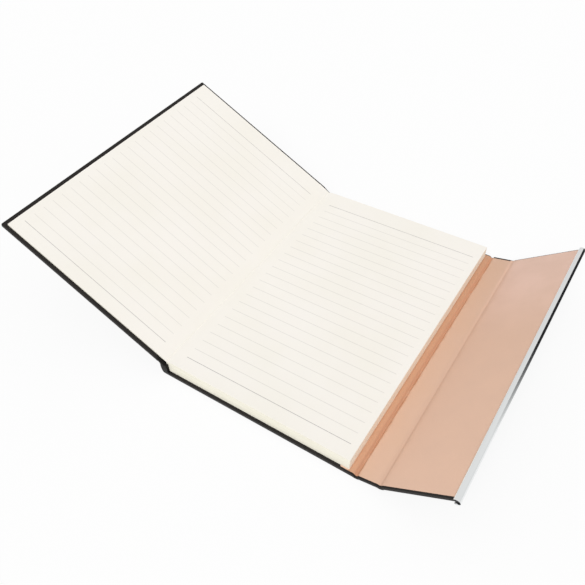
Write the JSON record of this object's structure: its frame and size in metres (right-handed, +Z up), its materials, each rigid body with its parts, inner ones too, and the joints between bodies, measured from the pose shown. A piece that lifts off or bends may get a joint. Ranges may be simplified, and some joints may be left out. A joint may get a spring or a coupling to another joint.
{
  "type": "wraparound flap notebook",
  "caption": "Open casebound ruled notebook with cream leaves, dark leatherette covers and a lined fore edge flap with a metal edge that folds over the front cover.",
  "frame": {"origin": "middle of the flat underside of the back cover, which rests on the table", "axes": "+X from the spine to the flap, +Y from the tail to the head of the pages, +Z up"},
  "size_m": [0.3331, 0.217, 0.0794],
  "materials": {
    "paper": "matt uncoated cream",
    "endpaper": "matt uncoated cream",
    "mull": "open weave glued flat",
    "leatherette": "fine grain, satin",
    "greyboard": "raw board",
    "lining": "smooth matt",
    "trim_metal": "satin lip, bright nose",
    "plate_steel": "plain rolled",
    "magnet": "nickel plated"
  },
  "bodies": {
    "book": {"page_block": "paper", "spine_mull": "mull", "back_cover_skin": "leatherette", "spine_board": "greyboard", "back_board": "greyboard", "back_endpaper": "endpaper", "back_lining": "lining", "fore_edge_fold_cloth": "leatherette", "fore_edge_fold_lining": "lining", "front_joint_cloth": "leatherette"},
    "front_cover": {"front_cover_skin": "leatherette", "front_board": "greyboard", "front_endpaper": "endpaper", "turned_leaves": "paper", "catch_plate_tail": "plate_steel", "catch_plate_head": "plate_steel"},
    "fore_edge_strip": {"fore_edge_skin": "leatherette", "fore_edge_board": "greyboard", "fore_edge_lining": "lining", "flap_fold_cloth": "leatherette", "flap_fold_lining": "lining"},
    "flap": {"flap_skin": "leatherette", "flap_board": "greyboard", "flap_lining": "lining", "edge_trim": "trim_metal", "flap_magnet_tail": "magnet", "flap_magnet_head": "magnet"}
  },
  "joints": [
    {"name": "front_cover_hinge", "type": "hinge", "parent": "book", "child": "front_cover", "pos_m": [-0.07, 0, 0.01205], "axis": [0, 1, 0], "range_deg": [-31.5, 151.4], "deforming": ["front_joint_cloth"]},
    {"name": "fore_edge_fold", "type": "hinge", "parent": "book", "child": "fore_edge_strip", "pos_m": [0.07505, 0, 0.00135], "axis": [0, -1, 0], "range_deg": [-12, 78], "deforming": ["fore_edge_fold_cloth", "fore_edge_fold_lining"]},
    {"name": "flap_fold", "type": "hinge", "parent": "fore_edge_strip", "child": "flap", "pos_m": [0.09109, 0, 0.00476], "axis": [0, -1, 0], "range_deg": [-23, 64.8], "deforming": ["flap_fold_cloth", "flap_fold_lining"]}
  ]
}
